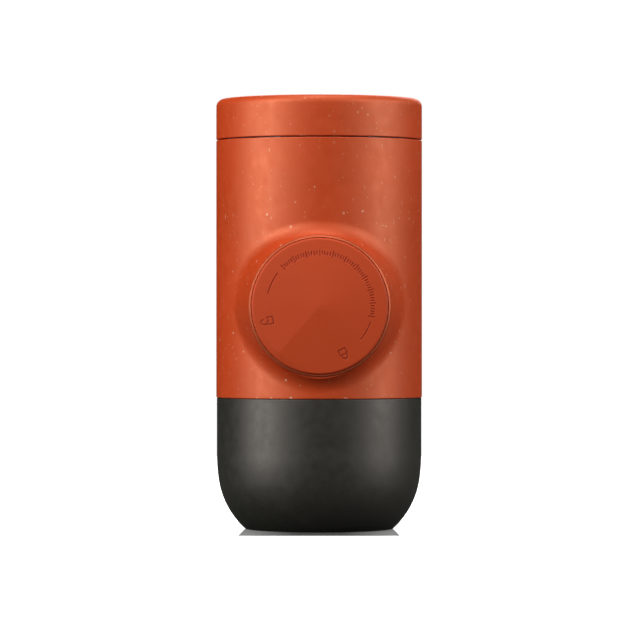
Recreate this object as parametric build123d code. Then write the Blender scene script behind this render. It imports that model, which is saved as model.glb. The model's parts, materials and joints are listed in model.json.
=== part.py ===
from build123d import *
import os
from math import asin, cos, radians, sin, tan

# Handheld manual espresso maker, as the separate pieces it comes apart into, in millimetres.
# From the bottom up: a coffee cup that closes the brew end, an outlet head with its pressure valve,
# a filter basket, a brew head, a hand pump that lies across the body, a water tank and a lid.
# The origin is the centre of the cup's flat base, +Z is up, and the pump's knob faces -Y.

# ---------------------------------------------------------------- driving sizes
# Outer form
body_diameter = 70.0
body_height = 87.0
body_wall = 1.8
lid_height = 13.8
lid_wall = 1.8
lid_top_thickness = 2.2
lid_edge_radius = 3.0
lid_seam = 0.4
cup_seam = 0.3
edge_break = 0.25

# Coffee cup
cup_height = 44.7
cup_inset = 0.2
cup_wall = 2.0
cup_floor = 3.0
cup_shoulder_height = 25.0
cup_shoulder_drop = 8.5
cup_shoulder_radius = 55.0
cup_base_curve = 27.5
cup_foot_radius = 0.5

# Clearances
slide_clearance = 0.3
fit_clearance = 0.1
seal_clearance = 0.08
shaft_clearance = 0.05
thread_gap = 0.5

# Brew head
brew_plate_rise = 1.7
brew_plate_thickness = 4.0
spigot_reach = 6.0
spigot_wall = 2.0
cup_seal_section = 1.1
cup_seal_rise = 2.0
brew_boss_wall = 2.2
brew_boss_depth = 10.0
brew_pad_depth = 2.5
screen_land = 1.1
spread_depth = 1.5
screen_thickness = 0.5
screen_screw_radius = 1.25
screen_screw_length = 4.0
screen_screw_head_radius = 2.6
screen_screw_head_height = 1.3
gasket_width = 3.2
gasket_thickness = 2.6

# Filter basket
basket_wall = 0.4
basket_depth = 19.6
basket_rim_width = 2.9
basket_rim_thickness = 0.6
hole_radius = 0.55
hole_pitch = 4.3
hole_rings = 3

# Outlet head and pressure valve
head_gap = 1.9
head_skirt_wall = 3.8
head_skirt_depth = 10.0
head_bowl_wall = 2.4
head_floor_wall = 2.6
head_funnel_slope = 0.26
head_drain_radius = 1.5
head_drain_length = 1.4
spout_wall = 2.6
spout_length = 6.5
flute_count = 12
flute_radius = 3.4
flute_depth = 0.9
valve_chamber_radius = 3.4
valve_head_radius = 2.7
valve_head_thickness = 0.9
valve_stem_radius = 0.9
valve_stem_length = 4.2
valve_spring_radius = 2.35
valve_wire = 0.4
valve_turns = 3
nozzle_bore = 1.9
nozzle_insert = 2.2
nozzle_flange_radius = 4.8
nozzle_flange_thickness = 1.0

# Knob
pump_rise = 30.7
knob_radius = 22.3
knob_wall = 1.7
knob_face_thickness = 1.7
knob_proud = 1.6
knob_crown = 1.0
knob_ridge_turn = 221
knob_ridge_spread = 40
knob_edge_radius = 0.7
knob_lug_count = 3
knob_lug_height = 0.65
knob_lug_width = 8.0
knob_lug_length = 1.2
knob_hub_thickness = 1.2
clip_width = 2.9
clip_thickness = 0.5
clip_groove_depth = 0.7

# Knob boss on the body and the guide sleeve inside it
boss_rise = 3.2
boss_lip_width = 0.8
boss_draft = 8.0
boss_blend = 5.0
boss_edge_radius = 0.3
sleeve_gap = 0.35
sleeve_wall = 0.55
sleeve_proud = 0.35
sleeve_lip_depth = 1.5
sleeve_floor_thickness = 1.0

# Hand pump
piston_stroke = 11.0
piston_radius = 6.2
piston_head_length = 6.0
piston_ring_section = 1.0
piston_ring_pitch = 2.6
rod_radius = 5.0
journal_radius = 4.0
spring_seat_radius = 13.5
spring_seat_thickness = 1.5
spring_radius = 11.5
spring_wire = 1.5
spring_turns = 5
thrust_washer_thickness = 0.4
liner_wall = 1.1
barrel_wall = 1.8
barrel_end_wall = 3.0
cylinder_end_offset = 15.0
port_radius = 1.2
port_column_radius = 5.5
bush_length = 8.0
pump_flange_radius = 21.0
pump_flange_thickness = 2.5
pump_foot_thickness = 2.5
pump_ear_width = 3.4
pump_web_thickness = 4.0
valve_pocket_radius = 3.6
valve_throat_radius = 2.4
valve_flange_thickness = 1.2
valve_cone_length = 3.4
valve_tip_radius = 0.7

# Water tank
tank_gap = 1.0
tank_ledge_width = 2.2
tank_ledge_thickness = 1.4
tank_wall = 1.8
tank_floor = 2.0
tank_neck_wall = 1.8
tank_neck_height = 7.0
tank_shoulder = 2.0
tank_port_bore = 1.8
tank_port_length = 5.6
tank_seal_thickness = 0.5
strainer_radius = 6.0
strainer_height = 1.6
strainer_wall = 0.4

# Screw cap inside the lid
cap_skirt_wall = 1.2
cap_disc_thickness = 2.0
lid_seal_width = 2.2
lid_seal_thickness = 1.2
lid_rib_radius = 24.0
lid_rib_wall = 1.5
vent_radius = 5.0
vent_stem_radius = 1.2

# Screws
screw_radius = 1.25
screw_head_radius = 2.2
screw_head_height = 1.5
shell_boss_radius = 2.8
shell_boss_height = 6.0
small_screw_radius = 0.9
small_screw_head_radius = 1.7
small_screw_head_height = 1.2

# ---------------------------------------------------------------- places worked out from them
body_radius = body_diameter / 2
body_inner = body_radius - body_wall
body_bottom = cup_height + cup_seam
body_top = body_bottom + body_height
lid_bottom = body_top + lid_seam
lid_top = lid_bottom + lid_height

cup_radius = body_radius - cup_inset
cup_inner = cup_radius - cup_wall

# Brew head, from the cup's mouth inwards and down
plate_bottom = body_bottom + brew_plate_rise
plate_top = plate_bottom + brew_plate_thickness
spigot_radius = cup_inner - slide_clearance
spigot_inner = spigot_radius - spigot_wall
spigot_bottom = cup_height - spigot_reach
cup_seal_radius = cup_inner - seal_clearance - cup_seal_section / 2
cup_seal_height = spigot_bottom + cup_seal_rise
head_radius = spigot_inner - head_gap
head_inner = head_radius - head_skirt_wall
brew_boss_radius = head_inner - slide_clearance
boss_inner = brew_boss_radius - brew_boss_wall
boss_bottom = plate_bottom - brew_boss_depth
land_height = plate_bottom - brew_pad_depth
gasket_radius = boss_inner - fit_clearance
gasket_inner = gasket_radius - gasket_width
screen_radius = gasket_inner - slide_clearance
spread_radius = screen_radius - screen_land
screw_ring_radius = (brew_boss_radius + spigot_inner) / 2

basket_top = land_height - gasket_thickness
basket_rim_radius = boss_inner - slide_clearance
basket_outer = basket_rim_radius - basket_rim_width
basket_radius = basket_outer - basket_wall
basket_bottom = basket_top - basket_depth - basket_wall

head_top = plate_bottom - slide_clearance
head_seat = basket_top - basket_rim_thickness
head_bore = basket_outer + slide_clearance
head_groove_floor = boss_bottom - slide_clearance
head_funnel_top = basket_bottom - slide_clearance
head_funnel_bottom = head_funnel_top - (basket_radius - head_drain_radius) * head_funnel_slope
valve_seat = head_funnel_bottom - head_drain_length
spout_radius = valve_chamber_radius + spout_wall
spout_bottom = valve_seat - spout_length
valve_head_top = valve_seat - shaft_clearance
nozzle_top = spout_bottom + nozzle_insert

# Pump. Reach is the distance from the body's centre line towards the knob, so it is -Y.
pump_height = body_bottom + pump_rise
sleeve_lip_radius = knob_radius + sleeve_gap
lug_radius = knob_radius + knob_lug_height
sleeve_inner = lug_radius + fit_clearance
sleeve_radius = sleeve_inner + sleeve_wall
boss_rim_radius = sleeve_radius + boss_lip_width
boss_rim_reach = body_radius + boss_rise
sleeve_front_reach = boss_rim_reach + sleeve_proud
sleeve_lip_back = sleeve_front_reach - sleeve_lip_depth
knob_face_reach = boss_rim_reach + knob_proud
knob_inner_reach = knob_face_reach - knob_face_thickness
hub_back_reach = knob_inner_reach - knob_hub_thickness
washer_back_reach = hub_back_reach - fit_clearance - thrust_washer_thickness
spring_seat_reach = washer_back_reach - spring_seat_thickness
lug_front_reach = sleeve_lip_back - piston_stroke - slide_clearance
knob_skirt_end = lug_front_reach - knob_lug_length
sleeve_floor_top = knob_skirt_end - slide_clearance - small_screw_head_height
sleeve_floor_reach = sleeve_floor_top - sleeve_floor_thickness
flange_back_reach = sleeve_floor_reach - pump_flange_thickness
liner_front_reach = sleeve_floor_reach - bush_length
barrel_bore_end = -cylinder_end_offset
port_reach = barrel_bore_end + 2 * port_radius
piston_face_reach = port_reach + port_radius + slide_clearance
cylinder_radius = piston_radius + slide_clearance
liner_radius = cylinder_radius + liner_wall
barrel_radius = liner_radius + barrel_wall
piston_ring_radius = cylinder_radius - seal_clearance - piston_ring_section / 2
pump_foot_radius = screw_ring_radius - pump_ear_width
guide_screw_ring = pump_flange_radius - 2 * small_screw_head_radius
valve_flange_radius = valve_pocket_radius - fit_clearance

# Tank and lid
ledge_top = pump_height + sleeve_radius + tank_gap + tank_ledge_thickness
tank_radius = body_inner - slide_clearance
tank_inner = tank_radius - tank_wall
tank_floor_top = ledge_top + tank_floor
tank_port_end = ledge_top - tank_port_length
column_top = ledge_top - tank_seal_thickness
inlet_seat = tank_port_end - fit_clearance - valve_flange_thickness
outlet_seat = plate_top - valve_flange_thickness
lid_inner = body_radius - lid_wall
cap_skirt_outer = lid_inner - fit_clearance
cap_skirt_inner = cap_skirt_outer - cap_skirt_wall
tank_neck_radius = cap_skirt_inner - thread_gap
neck_inner = tank_neck_radius - tank_neck_wall
neck_top = body_top + tank_neck_height
cap_disc_bottom = neck_top + lid_seal_thickness
cap_disc_top = cap_disc_bottom + cap_disc_thickness
lid_ceiling = lid_top - lid_top_thickness


# ---------------------------------------------------------------- drawing helpers
def turned(*outline):
    """A solid of revolution about Z, from its (radius, height) outline."""
    return revolve(Plane.XZ * make_face(Polyline(*outline, close=True)), Axis.Z)


def ring(outer, inner, low, high):
    """A plain ring about Z between two heights."""
    return turned((inner, low), (outer, low), (outer, high), (inner, high))


def rod(radius, low, high, x=0.0, y=0.0):
    """A solid cylinder that stands on (x, y) between two heights."""
    return Pos(x, y, (low + high) / 2) * Cylinder(radius, high - low)


def on_pump_axis(piece):
    """Lays a piece drawn about Z across the body: its height becomes its reach towards the knob."""
    return Pos(0, 0, pump_height) * Rot(90, 0, 0) * piece


def around(radius, count, start=0.0):
    """Places evenly round a circle about Z."""
    return PolarLocations(radius, count, start)


def perforations(low, high):
    """Drill rods for a round screen: concentric rings of small eight-sided holes."""
    drill = extrude(Pos(0, 0, low) * RegularPolygon(hole_radius, 8), high - low)
    drills = []
    for ring_number in range(1, hole_rings + 1):
        places = around(hole_pitch * ring_number, 6 * ring_number)
        drills += [place * drill for place in places]
    return drills


def coil(radius, wire, turns, low, high):
    """A square-wire compression spring about Z that fills the room between two seats."""
    pitch = (high - low - wire) / turns
    path = Helix(pitch, high - low - wire, radius)
    section = Plane(origin=path @ 0, z_dir=path % 0) * Rectangle(wire, wire)
    return Pos(0, 0, low + wire / 2) * sweep(section, path, is_frenet=True)


def screw(radius, head_radius, head_height, length):
    """A pan-head screw that points up, with its head's top face on Z = 0 and a cross recess."""
    slot = Box(head_radius, head_height / 3, head_height)
    return rod(head_radius, 0, head_height) + rod(radius, head_height, length) - slot - Rot(0, 0, 90) * slot


def save(name, piece):
    """Writes one piece, or one group of like pieces, as its own node."""
    export_step(piece, f"parts/{name}.step")


# ---------------------------------------------------------------- coffee cup
def cup_side(inset, floor):
    """The cup's side in section, from the straight wall round to a floor: two tangent arcs, set in by inset."""
    turn = asin(cup_shoulder_drop / cup_shoulder_radius)
    upper_x = cup_radius - cup_shoulder_radius
    lower_x = upper_x + (cup_shoulder_radius - cup_base_curve) * cos(turn)
    lower_z = cup_shoulder_height - (cup_shoulder_radius - cup_base_curve) * sin(turn)
    end = asin((lower_z - floor) / (cup_base_curve - inset))

    def on_arc(x, z, radius, angle):
        return (x + radius * cos(angle), z - radius * sin(angle))

    upper_r, lower_r = cup_shoulder_radius - inset, cup_base_curve - inset
    top = (cup_radius - inset, cup_shoulder_height)
    joint = on_arc(upper_x, cup_shoulder_height, upper_r, turn)
    foot = on_arc(lower_x, lower_z, lower_r, end)
    upper = ThreePointArc(top, on_arc(upper_x, cup_shoulder_height, upper_r, turn / 2), joint)
    lower = ThreePointArc(joint, on_arc(lower_x, lower_z, lower_r, (turn + end) / 2), foot)
    return [upper, lower], foot


def espresso_cup():
    """A round-bottomed cup with a flat base, open at the top, that pushes over the brew head's spigot."""
    outer_arcs, outer_foot = cup_side(0, 0)
    inner_arcs, inner_foot = cup_side(cup_wall, cup_floor)
    lines = [
        Line((cup_radius, cup_height), (cup_radius, cup_shoulder_height)),
        Line(outer_foot, (0, 0)),
        Line((0, 0), (0, cup_floor)),
        Line((0, cup_floor), inner_foot),
        Line((cup_inner, cup_shoulder_height), (cup_inner, cup_height)),
        Line((cup_inner, cup_height), (cup_radius, cup_height)),
    ]
    cup = revolve(Plane.XZ * make_face([*lines, *outer_arcs, *inner_arcs]), Axis.Z)
    cup = fillet(cup.edges().group_by(Axis.Z)[0], cup_foot_radius)
    return chamfer(cup.edges().group_by(Axis.Z)[-1], edge_break)


# ---------------------------------------------------------------- brew head
def brew_head():
    """Bulkhead that closes the body: cup spigot, screwed boss, spreader, and seats for valve and screws."""
    plate_radius = body_inner - fit_clearance
    spread_top = land_height + spread_depth
    head = turned(
        (0, land_height),
        (boss_inner, land_height),
        (boss_inner, boss_bottom),
        (brew_boss_radius, boss_bottom),
        (brew_boss_radius, plate_bottom),
        (spigot_inner, plate_bottom),
        (spigot_inner, spigot_bottom),
        (spigot_radius, spigot_bottom),
        (spigot_radius, plate_bottom),
        (plate_radius, plate_bottom),
        (plate_radius, plate_top),
        (0, plate_top),
    )
    groove_floor = cup_seal_radius - cup_seal_section / 2 - shaft_clearance
    groove_half = cup_seal_section / 2 + shaft_clearance
    groove = ring(spigot_radius + 1, groove_floor, cup_seal_height - groove_half, cup_seal_height + groove_half)
    spread = ring(spread_radius, screen_screw_head_radius, land_height, spread_top)
    pilot = rod(screen_screw_radius - shaft_clearance, land_height, land_height + screen_screw_length)
    valve_seat_hole = rod(valve_pocket_radius, outlet_seat, plate_top, 0, -port_reach)
    throat = rod(valve_throat_radius, spread_top, outlet_seat, 0, -port_reach)
    counterbore = rod(screw_head_radius + fit_clearance, plate_bottom, plate_bottom + screw_head_height)
    screw_hole = rod(screw_radius, plate_bottom, plate_top) + counterbore
    screw_holes = [place * screw_hole for place in [*pump_screw_places(), *shell_screw_places()]]
    return head - [groove, spread, pilot, valve_seat_hole, throat, *screw_holes]


def pump_screw_places():
    """Three screws hold the pump's foot on the brew head: right, rear and left."""
    return [Rot(0, 0, turn) * Pos(screw_ring_radius, 0, 0) for turn in (0, 90, 180)]


def shell_screw_places():
    """Four screws hold the body shell on the brew head, between the pump's screws."""
    return [Rot(0, 0, turn) * Pos(screw_ring_radius, 0, 0) for turn in (45, 135, 225, 315)]


def cup_seal():
    """Rubber ring in the spigot's groove that grips the cup."""
    return Pos(0, 0, cup_seal_height) * Torus(cup_seal_radius, cup_seal_section / 2)


def shower_screen():
    """Perforated steel disc that spreads the water over the coffee."""
    low = land_height - screen_thickness
    disc = ring(screen_radius, screen_screw_radius + fit_clearance, low, land_height)
    return disc - perforations(low, land_height)


def screen_screw():
    """The one screw that holds the shower screen, from below."""
    head_low = land_height - screen_thickness - screen_screw_head_height
    length = screen_screw_head_height + screen_thickness + screen_screw_length - slide_clearance
    radius = screen_screw_radius - 2 * shaft_clearance
    return Pos(0, 0, head_low) * screw(radius, screen_screw_head_radius, screen_screw_head_height, length)


def brew_gasket():
    """Silicone ring that the basket's rim seals on."""
    return ring(gasket_radius, gasket_inner, basket_top, land_height)


# ---------------------------------------------------------------- filter basket
def filter_basket():
    """Pressed steel basket with a flat rim and a perforated floor."""
    basket = turned(
        (0, basket_bottom),
        (basket_outer, basket_bottom),
        (basket_outer, head_seat),
        (basket_rim_radius, head_seat),
        (basket_rim_radius, basket_top),
        (basket_radius, basket_top),
        (basket_radius, basket_bottom + basket_wall),
        (0, basket_bottom + basket_wall),
    )
    return basket - perforations(basket_bottom, basket_bottom + basket_wall)


# ---------------------------------------------------------------- outlet head
def outlet_head():
    """Screw-on head that carries the basket and funnels coffee to the spout, with flutes round its skirt."""
    sleeve_outer = boss_inner - slide_clearance
    bowl_radius = head_bore + head_bowl_wall
    skirt_bottom = head_top - head_skirt_depth
    taper_bottom = skirt_bottom - (head_radius - bowl_radius)
    underside = head_funnel_top - head_floor_wall
    spout_top = head_funnel_bottom - head_floor_wall
    head = turned(
        (0, spout_bottom),
        (spout_radius - 0.6, spout_bottom),
        (spout_radius, spout_bottom + 0.6),
        (spout_radius, spout_top),
        (bowl_radius, underside),
        (bowl_radius, taper_bottom),
        (head_radius, skirt_bottom),
        (head_radius, head_top),
        (head_inner, head_top),
        (head_inner, head_groove_floor),
        (sleeve_outer, head_groove_floor),
        (sleeve_outer, head_seat),
        (head_bore, head_seat),
        (head_bore, head_funnel_top),
        (basket_radius, head_funnel_top),
        (head_drain_radius, head_funnel_bottom),
        (head_drain_radius, valve_seat),
        (0, valve_seat),
    )
    chamber = rod(valve_chamber_radius, spout_bottom, valve_seat)
    flute = rod(flute_radius, skirt_bottom - 1, head_top + 1)
    flutes = around(head_radius + flute_radius - flute_depth, flute_count)
    return head - chamber - [place * flute for place in flutes]


def outlet_nozzle():
    """Turned insert that closes the valve chamber, carries its spring and ends in the coffee outlet."""
    flange_bottom = spout_bottom - nozzle_flange_thickness
    return turned(
        (nozzle_bore, flange_bottom),
        (nozzle_flange_radius, flange_bottom),
        (nozzle_flange_radius, spout_bottom),
        (valve_chamber_radius - shaft_clearance, spout_bottom),
        (valve_chamber_radius - shaft_clearance, nozzle_top),
        (nozzle_bore, nozzle_top),
    )


def valve_poppet():
    """Steel poppet that holds the coffee back until the brewing pressure lifts it off the drain."""
    head_bottom = valve_head_top - valve_head_thickness
    return turned(
        (0, head_bottom - valve_stem_length),
        (valve_stem_radius, head_bottom - valve_stem_length),
        (valve_stem_radius, head_bottom),
        (valve_head_radius, head_bottom),
        (valve_head_radius, valve_head_top - 0.3),
        (valve_head_radius - 0.6, valve_head_top),
        (0, valve_head_top),
    )


def valve_spring():
    """Small compression spring between the nozzle and the poppet's head."""
    return coil(valve_spring_radius, valve_wire, valve_turns, nozzle_top, valve_head_top - valve_head_thickness)


# ---------------------------------------------------------------- body shell
def body_shell():
    """Tubular casing: the knob's boss blended out of its side, a ledge for the tank, four screw bosses."""
    casing = rod(body_radius, body_bottom, body_top) + on_pump_axis(boss_cone())
    meeting = [e for e in casing.edges() if e.geom_type not in (GeomType.CIRCLE, GeomType.LINE)]
    casing = fillet(meeting, boss_blend)
    casing -= on_pump_axis(rod(body_radius, boss_rim_reach, boss_overlong_reach() + 1))
    casing = fillet(casing.edges().group_by(Axis.Y)[0], boss_edge_radius)
    rims = casing.edges().filter_by(GeomType.CIRCLE).filter_by(lambda e: abs(e.radius - body_radius) < 1e-4)
    casing = chamfer(rims, edge_break)
    casing -= rod(body_inner, body_bottom, body_top)
    casing -= on_pump_axis(rod(sleeve_radius + shaft_clearance, 0, boss_rim_reach))
    ledge_inner = body_inner - tank_ledge_width
    casing += ring(body_inner + body_wall / 2, ledge_inner, ledge_top - tank_ledge_thickness, ledge_top)
    pilot_top = plate_top + shell_boss_height - 1
    pilot = rod(screw_radius - shaft_clearance, plate_top, pilot_top)
    for place in shell_screw_places():
        casing = casing + place * shell_screw_boss() - place * pilot
    return casing


def boss_overlong_reach():
    """How far the boss is drawn before its face is cut, so that its blend is whole at the top and bottom."""
    return boss_rim_reach + 2 * boss_blend


def boss_cone():
    """The knob's boss before it is blended and cut: a drafted round post from the body's centre line."""
    slope = tan(radians(boss_draft))
    root_radius = boss_rim_radius + boss_rim_reach * slope
    tip_radius = boss_rim_radius - (boss_overlong_reach() - boss_rim_reach) * slope
    return turned((0, 0), (root_radius, 0), (tip_radius, boss_overlong_reach()), (0, boss_overlong_reach()))


def shell_screw_boss():
    """A screw post and the rib that joins it to the shell's wall, drawn on the screw's axis."""
    rib_length = body_inner + body_wall / 2 - screw_ring_radius
    rib = Box(rib_length, shell_boss_radius, shell_boss_height, align=(Align.MIN, Align.CENTER, Align.MIN))
    return rod(shell_boss_radius, plate_top, plate_top + shell_boss_height) + Pos(0, 0, plate_top) * rib


# ---------------------------------------------------------------- pump
def knob_guide():
    """Thin metal cup in the boss: it guides the knob's skirt, and its lip frames the knob and stops it."""
    crest = sleeve_wall / 3
    cup = turned(
        (barrel_radius, sleeve_floor_reach),
        (sleeve_radius, sleeve_floor_reach),
        (sleeve_radius, sleeve_front_reach - crest),
        (sleeve_radius - crest, sleeve_front_reach),
        (sleeve_lip_radius + crest, sleeve_front_reach),
        (sleeve_lip_radius, sleeve_front_reach - crest),
        (sleeve_lip_radius, sleeve_lip_back),
        (sleeve_inner, sleeve_lip_back),
        (sleeve_inner, sleeve_floor_top),
        (barrel_radius, sleeve_floor_top),
    )
    hole = rod(small_screw_radius, sleeve_floor_reach, sleeve_floor_top)
    return on_pump_axis(cup - [place * hole for place in guide_screw_places()])


def guide_screw_places():
    """Three screws hold the guide on the pump's flange."""
    return [Rot(0, 0, turn) * Pos(guide_screw_ring, 0, 0) for turn in (90, 210, 330)]


def pump_housing():
    """Pump body: a closed barrel across the maker, its front flange, foot and web, and two port columns."""
    port_y = -port_reach
    barrel = rod(barrel_radius, barrel_bore_end - barrel_end_wall, sleeve_floor_reach)
    flange = rod(pump_flange_radius, flange_back_reach, sleeve_floor_reach)
    bore = rod(liner_radius, barrel_bore_end, sleeve_floor_reach)
    pilot = rod(small_screw_radius - 2 * shaft_clearance, flange_back_reach, sleeve_floor_reach)
    guide_pilots = [on_pump_axis(place * pilot) for place in guide_screw_places()]
    column = rod(port_column_radius, plate_top, column_top, 0, port_y)
    port = rod(port_radius, plate_top, column_top, 0, port_y)
    pocket = rod(valve_pocket_radius, inlet_seat, column_top, 0, port_y)
    throat = rod(valve_throat_radius, inlet_seat - valve_cone_length - slide_clearance, inlet_seat, 0, port_y)
    housing = on_pump_axis(barrel + flange) + column + pump_foot() + pump_web()
    return housing - [on_pump_axis(bore), port, pocket, throat, *guide_pilots]


def pump_foot():
    """The pump's foot on the brew head: a disc cut flat behind the knob, with three ears for its screws."""
    foot = rod(pump_foot_radius, plate_top, plate_top + pump_foot_thickness)
    arm = Pos(0, 0, plate_top) * Box(
        screw_ring_radius, 2 * pump_ear_width, pump_foot_thickness, align=(Align.MAX, Align.CENTER, Align.MIN)
    )
    ear = rod(pump_ear_width, plate_top, plate_top + pump_foot_thickness) + arm
    pilot = rod(screw_radius - shaft_clearance, plate_top, plate_top + pump_foot_thickness)
    for place in pump_screw_places():
        foot = foot + place * ear - place * pilot
    front_of_flange = Pos(0, -flange_back_reach, plate_top) * Box(
        2 * body_diameter, body_radius, 4 * pump_foot_thickness, align=(Align.CENTER, Align.MAX, Align.CENTER)
    )
    return foot - front_of_flange


def pump_web():
    """The upright web that carries the barrel on its foot."""
    height = pump_height - plate_top
    length = flange_back_reach - port_reach
    web = Box(pump_web_thickness, length, height, align=(Align.CENTER, Align.MIN, Align.MIN))
    return Pos(0, -flange_back_reach, plate_top) * web


def cylinder_liner():
    """Steel tube that the piston runs in, with a port above and below at its rear end."""
    tube = ring(liner_radius - shaft_clearance, cylinder_radius, barrel_bore_end, liner_front_reach)
    ports = rod(port_radius, pump_height - barrel_radius, pump_height + barrel_radius, 0, -port_reach)
    return on_pump_axis(tube) - ports


def gland_bush():
    """Plain bush in the barrel's mouth that guides the piston rod."""
    outer, bore = liner_radius - shaft_clearance, rod_radius + shaft_clearance
    bush = ring(outer, bore, liner_front_reach, sleeve_floor_reach)
    return on_pump_axis(bush)


def piston_ring_reaches():
    """Where the two piston rings sit, measured to their middles."""
    first = piston_face_reach + piston_ring_pitch / 2
    return first, first + piston_ring_pitch


def piston_rod():
    """Rod with the knob's journal and the spring's seat in front and the grooved piston head behind."""
    head_front = piston_face_reach + piston_head_length
    journal_end = knob_inner_reach - shaft_clearance
    clip_groove = journal_end - clip_thickness - shaft_clearance
    piston = turned(
        (0, piston_face_reach),
        (piston_radius, piston_face_reach),
        (piston_radius, head_front),
        (rod_radius, head_front),
        (rod_radius, spring_seat_reach),
        (spring_seat_radius, spring_seat_reach),
        (spring_seat_radius, washer_back_reach),
        (journal_radius, washer_back_reach),
        (journal_radius, clip_groove),
        (journal_radius - clip_groove_depth, clip_groove),
        (journal_radius - clip_groove_depth, journal_end),
        (0, journal_end),
    )
    groove_half = piston_ring_section / 2 + shaft_clearance
    groove_floor = piston_ring_radius - groove_half
    grooves = [
        ring(piston_radius + 1, groove_floor, middle - groove_half, middle + groove_half)
        for middle in piston_ring_reaches()
    ]
    return on_pump_axis(piston - grooves)


def piston_rings():
    """Two rubber rings that seal the piston in the liner."""
    seal = Torus(piston_ring_radius, piston_ring_section / 2)
    return Compound([on_pump_axis(Pos(0, 0, middle) * seal) for middle in piston_ring_reaches()])


def return_spring():
    """Coil spring round the rod that pushes the piston out again."""
    return on_pump_axis(coil(spring_radius, spring_wire, spring_turns, sleeve_floor_top, spring_seat_reach))


def thrust_washer():
    """Slippery washer between the spring's seat and the turning knob."""
    inner = journal_radius + fit_clearance
    low = washer_back_reach
    return on_pump_axis(ring(spring_seat_radius, inner, low, low + thrust_washer_thickness))


def knob_clip():
    """Spring clip in the journal's groove that keeps the knob on the rod."""
    inner = journal_radius - clip_groove_depth + shaft_clearance
    high = knob_inner_reach - shaft_clearance
    clip = ring(inner + clip_width, inner, high - clip_thickness, high)
    mouth = Pos(0, -inner - clip_width / 2, high) * Box(inner, clip_width + inner, 2)
    return on_pump_axis(clip - mouth)


def knob_hub():
    """Inner disc of the knob: it turns on the journal and takes the thumb's push to the rod."""
    hub_radius = knob_radius - knob_wall - fit_clearance
    pocket_radius = journal_radius - clip_groove_depth + clip_width + slide_clearance
    pocket_floor = knob_inner_reach - clip_thickness - 2 * shaft_clearance
    hub = ring(hub_radius, journal_radius + shaft_clearance, hub_back_reach, knob_inner_reach)
    return on_pump_axis(hub - rod(pocket_radius, pocket_floor, knob_inner_reach))


def knob_crown_form(face_radius):
    """A shallow cone on the knob's face, with two flat facets that each touch it along a line and meet in a
    ridge midway. The ridge's turn is clockwise from the top as the knob is faced."""
    spread = radians(knob_ridge_spread)
    near, aside = face_radius * cos(spread), face_radius * sin(spread)
    tip = face_radius / cos(spread)
    facets = make_face(Polyline((0, 0), (near, -aside), (tip, 0), (near, aside), close=True))
    foot = Pos(0, 0, knob_face_reach) * (Circle(face_radius) + facets)
    apex_reach = knob_face_reach + knob_crown
    crown = loft([foot, Vertex(0, 0, apex_reach)]) & rod(face_radius, knob_face_reach, apex_reach)
    return Rot(0, 0, 90 - knob_ridge_turn) * crown


def knob_cap():
    """The knob that shows: a crowned round face, a long skirt and three lugs that the guide's lip stops."""
    skirt_inner = knob_radius - knob_wall
    face_radius = knob_radius - knob_edge_radius
    edge_low = knob_face_reach - knob_edge_radius
    half_edge = knob_edge_radius * sin(radians(45))
    mid_edge = (face_radius + half_edge, edge_low + half_edge)
    outline = [
        Line((0, knob_inner_reach), (skirt_inner, knob_inner_reach)),
        Line((skirt_inner, knob_inner_reach), (skirt_inner, knob_skirt_end)),
        Line((skirt_inner, knob_skirt_end), (knob_radius, knob_skirt_end)),
        Line((knob_radius, knob_skirt_end), (knob_radius, edge_low)),
        ThreePointArc((knob_radius, edge_low), mid_edge, (face_radius, knob_face_reach)),
        Line((face_radius, knob_face_reach), (0, knob_face_reach)),
        Line((0, knob_face_reach), (0, knob_inner_reach)),
    ]
    cap = revolve(Plane.XZ * make_face(outline), Axis.Z) + knob_crown_form(face_radius)
    lug_ring = ring(lug_radius, knob_radius - knob_wall / 2, knob_skirt_end, lug_front_reach)
    for lug_number in range(knob_lug_count):
        turn = 90 + lug_number * 360 / knob_lug_count
        sector = Pos(0, 0, knob_skirt_end) * Box(
            body_radius, knob_lug_width, 3 * knob_lug_length, align=(Align.MIN, Align.CENTER, Align.CENTER)
        )
        cap += lug_ring & (Rot(0, 0, turn) * sector)
    return on_pump_axis(cap)


def duckbill():
    """Silicone one-way valve: a slit cone under a flange, drawn with the flange's underside on Z = 0."""
    cone_radius = valve_throat_radius - fit_clearance
    lip = valve_flange_thickness / 3
    return turned(
        (0, -valve_cone_length),
        (valve_tip_radius, -valve_cone_length),
        (cone_radius, -lip),
        (cone_radius, 0),
        (valve_flange_radius, 0),
        (valve_flange_radius, valve_flange_thickness),
        (cone_radius / 2, valve_flange_thickness),
        (cone_radius / 2, lip),
        (0, -lip),
    )


def inlet_valve():
    """One-way valve under the tank's port, clamped by the port's end."""
    return Pos(0, -port_reach, inlet_seat) * duckbill()


def outlet_valve():
    """One-way valve between the pump's foot and the brew head."""
    return Pos(0, -port_reach, outlet_seat) * duckbill()


# ---------------------------------------------------------------- water tank
def water_tank():
    """Clear tank that stands on the shell's ledge, with a screwed neck above and a port below."""
    shoulder_top = body_top - lid_seam
    shoulder_low = shoulder_top - tank_shoulder
    slope = tank_inner - neck_inner
    tank = turned(
        (0, ledge_top),
        (tank_radius, ledge_top),
        (tank_radius, shoulder_top),
        (tank_neck_radius, shoulder_top),
        (tank_neck_radius, neck_top),
        (neck_inner, neck_top),
        (neck_inner, shoulder_low),
        (tank_inner, shoulder_low - slope),
        (tank_inner, tank_floor_top + tank_floor),
        (tank_inner - tank_floor, tank_floor_top),
        (0, tank_floor_top),
    )
    port = rod(valve_flange_radius, tank_port_end, ledge_top, 0, -port_reach)
    bore = rod(tank_port_bore, tank_port_end, tank_floor_top, 0, -port_reach)
    return tank + port - bore


def tank_port_seal():
    """Flat seal round the tank's port, on top of the inlet column."""
    seal = ring(port_column_radius, valve_pocket_radius, column_top, ledge_top)
    return Pos(0, -port_reach, 0) * seal


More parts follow.
